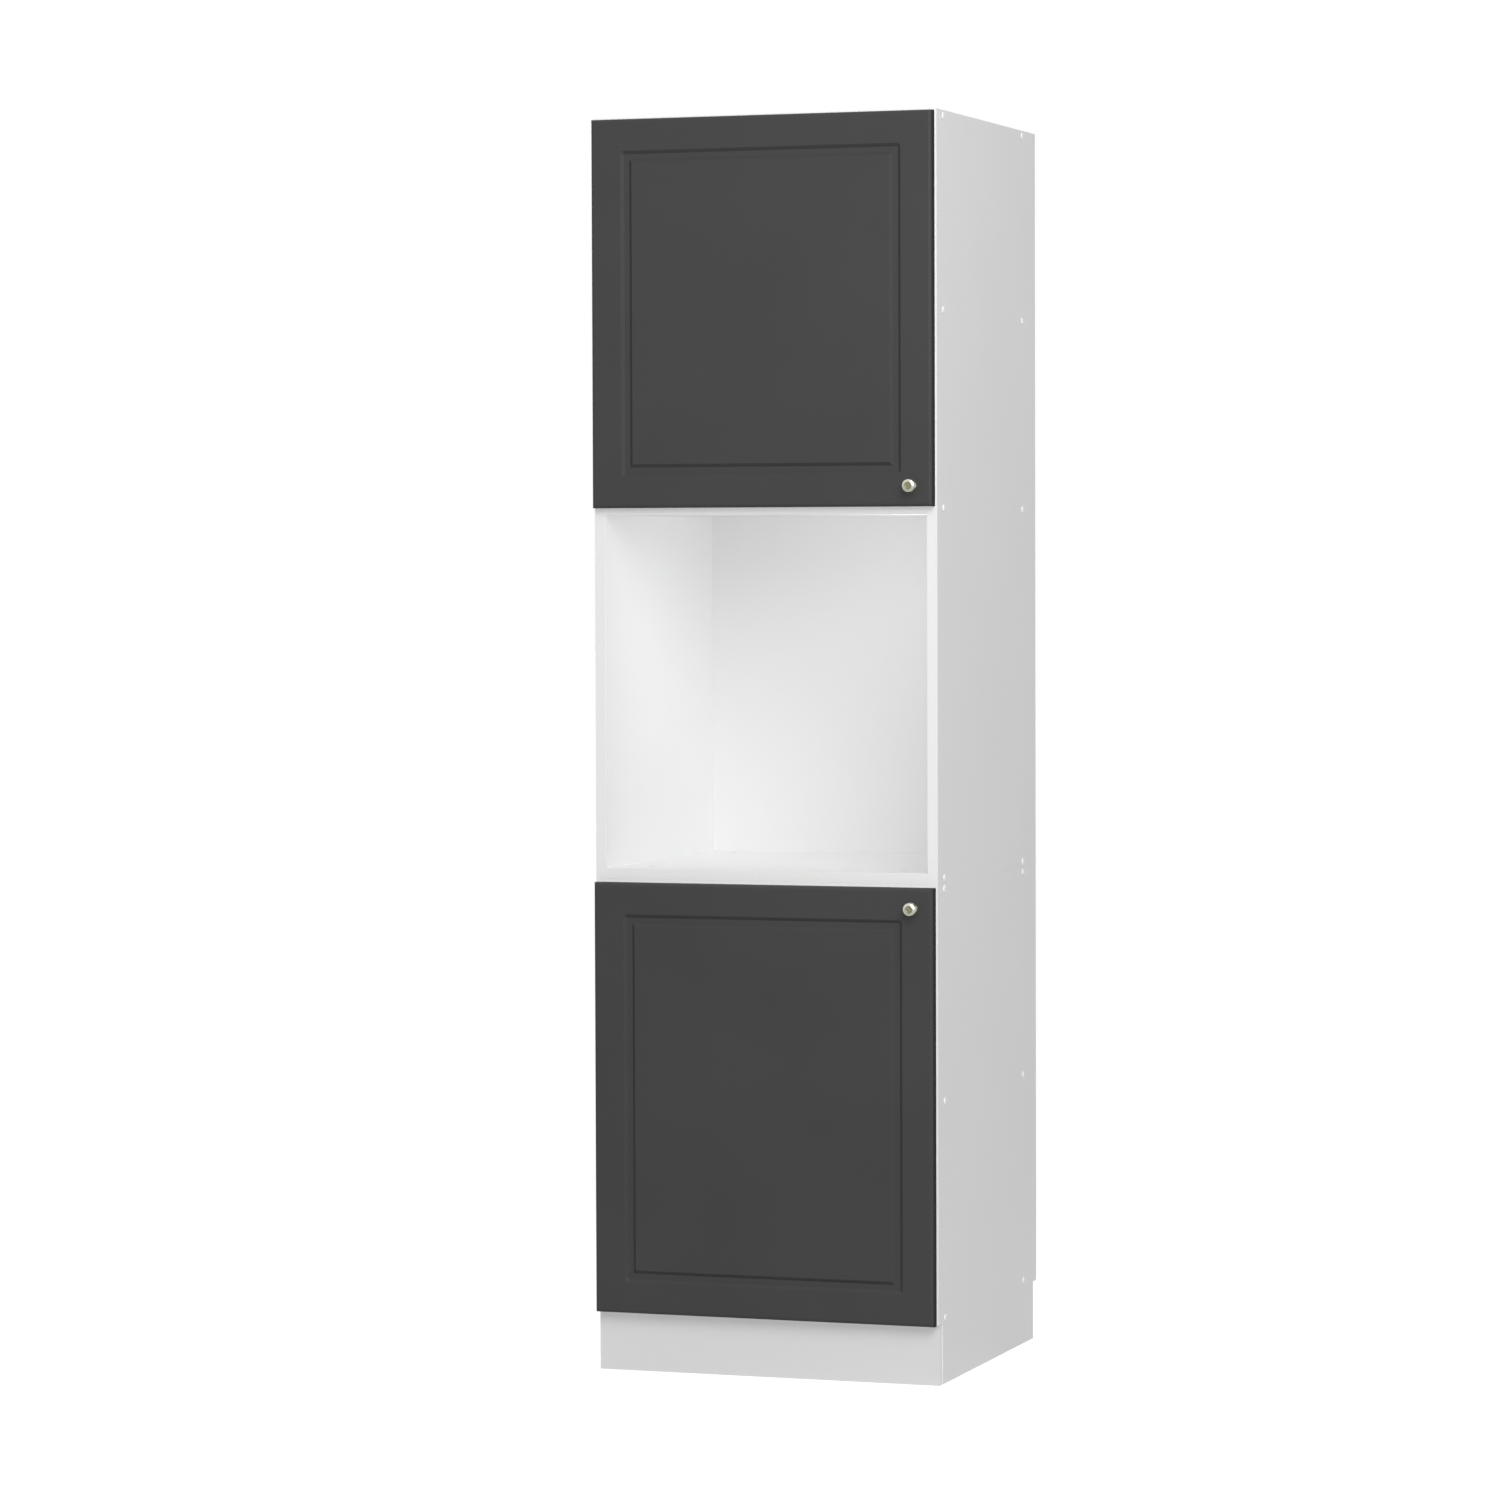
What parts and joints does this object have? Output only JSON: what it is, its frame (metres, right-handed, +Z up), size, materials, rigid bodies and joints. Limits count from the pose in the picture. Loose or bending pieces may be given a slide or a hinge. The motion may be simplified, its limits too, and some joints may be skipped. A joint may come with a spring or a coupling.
{
  "type": "oven housing unit",
  "caption": "Tall kitchen unit for a built-in oven: white board carcass with an open niche between two cupboards, each with a dark framed door on concealed hinges and a knob.",
  "frame": {"origin": "on the floor, in the middle of the overall width and of the overall depth, knobs included", "axes": "+X to the right as seen from in front, +Y from the front to the wall, +Z up"},
  "size_m": [0.6032, 0.625, 2.1],
  "materials": {
    "white_board": "white melamine facing with a fine orange peel",
    "edge_strip": "white edge strip, satin",
    "back_board": "white lacquered hardboard",
    "door_finish": "dark grey satin foil on fibreboard",
    "knob_nickel": "turned pale champagne nickel",
    "cap_plastic": "white moulded plastic",
    "block_wood": "planed softwood",
    "hinge_nickel": "nickel plated steel",
    "zinc_steel": "bright zinc plated steel",
    "bracket_zinc": "galvanised sheet steel",
    "bumper_pad": "clear soft pad"
  },
  "bodies": {
    "root": {"back_panel_nails": "zinc_steel", "base_back_panel": "back_board", "base_bottom_panel": "white_board", "base_shelf": "white_board", "base_side_left": "white_board", "base_side_right": "white_board", "base_top_panel": "white_board", "connector_bolts": "zinc_steel", "connector_sleeves": "zinc_steel", "front_edge_strips": "edge_strip", "hinge_arm_screws": "hinge_nickel", "hinge_plate_screws": "hinge_nickel", "lower_door_bottom_hinge_arm": "hinge_nickel", "lower_door_bottom_hinge_plate": "hinge_nickel", "lower_door_top_hinge_arm": "hinge_nickel", "lower_door_top_hinge_plate": "hinge_nickel", "niche_floor_panel": "white_board", "niche_top_panel": "white_board", "panel_screws": "zinc_steel", "plinth_block_left": "block_wood", "plinth_block_right": "block_wood", "plinth_board": "white_board", "plinth_screws": "zinc_steel", "screw_caps": "cap_plastic", "tower_back_panel": "back_board", "tower_side_left": "white_board", "tower_side_right": "white_board", "tower_top_panel": "white_board", "upper_door_bottom_hinge_arm": "hinge_nickel", "upper_door_bottom_hinge_plate": "hinge_nickel", "upper_door_top_hinge_arm": "hinge_nickel", "upper_door_top_hinge_plate": "hinge_nickel", "upper_shelf": "white_board", "wall_bracket_left": "bracket_zinc", "wall_bracket_right": "bracket_zinc", "wall_bracket_screws": "zinc_steel"},
    "lower_door": {"lower_door": "door_finish", "lower_door_bottom_hinge_cup": "hinge_nickel", "lower_door_bottom_hinge_pin": "hinge_nickel", "lower_door_bumpers": "bumper_pad", "lower_door_cup_screws": "hinge_nickel", "lower_door_knob": "knob_nickel", "lower_door_knob_screw": "zinc_steel", "lower_door_top_hinge_cup": "hinge_nickel", "lower_door_top_hinge_pin": "hinge_nickel"},
    "upper_door": {"upper_door": "door_finish", "upper_door_bottom_hinge_cup": "hinge_nickel", "upper_door_bottom_hinge_pin": "hinge_nickel", "upper_door_bumpers": "bumper_pad", "upper_door_cup_screws": "hinge_nickel", "upper_door_knob": "knob_nickel", "upper_door_knob_screw": "zinc_steel", "upper_door_top_hinge_cup": "hinge_nickel", "upper_door_top_hinge_pin": "hinge_nickel"}
  },
  "joints": [
    {"name": "lower_door_swing", "type": "hinge", "parent": "root", "child": "lower_door", "pos_m": [-0.291, -0.2801, 0.462], "axis": [0, 0, -1], "range_deg": [0, 95]},
    {"name": "upper_door_swing", "type": "hinge", "parent": "root", "child": "upper_door", "pos_m": [-0.291, -0.2801, 1.7735], "axis": [0, 0, -1], "range_deg": [0, 95]}
  ]
}
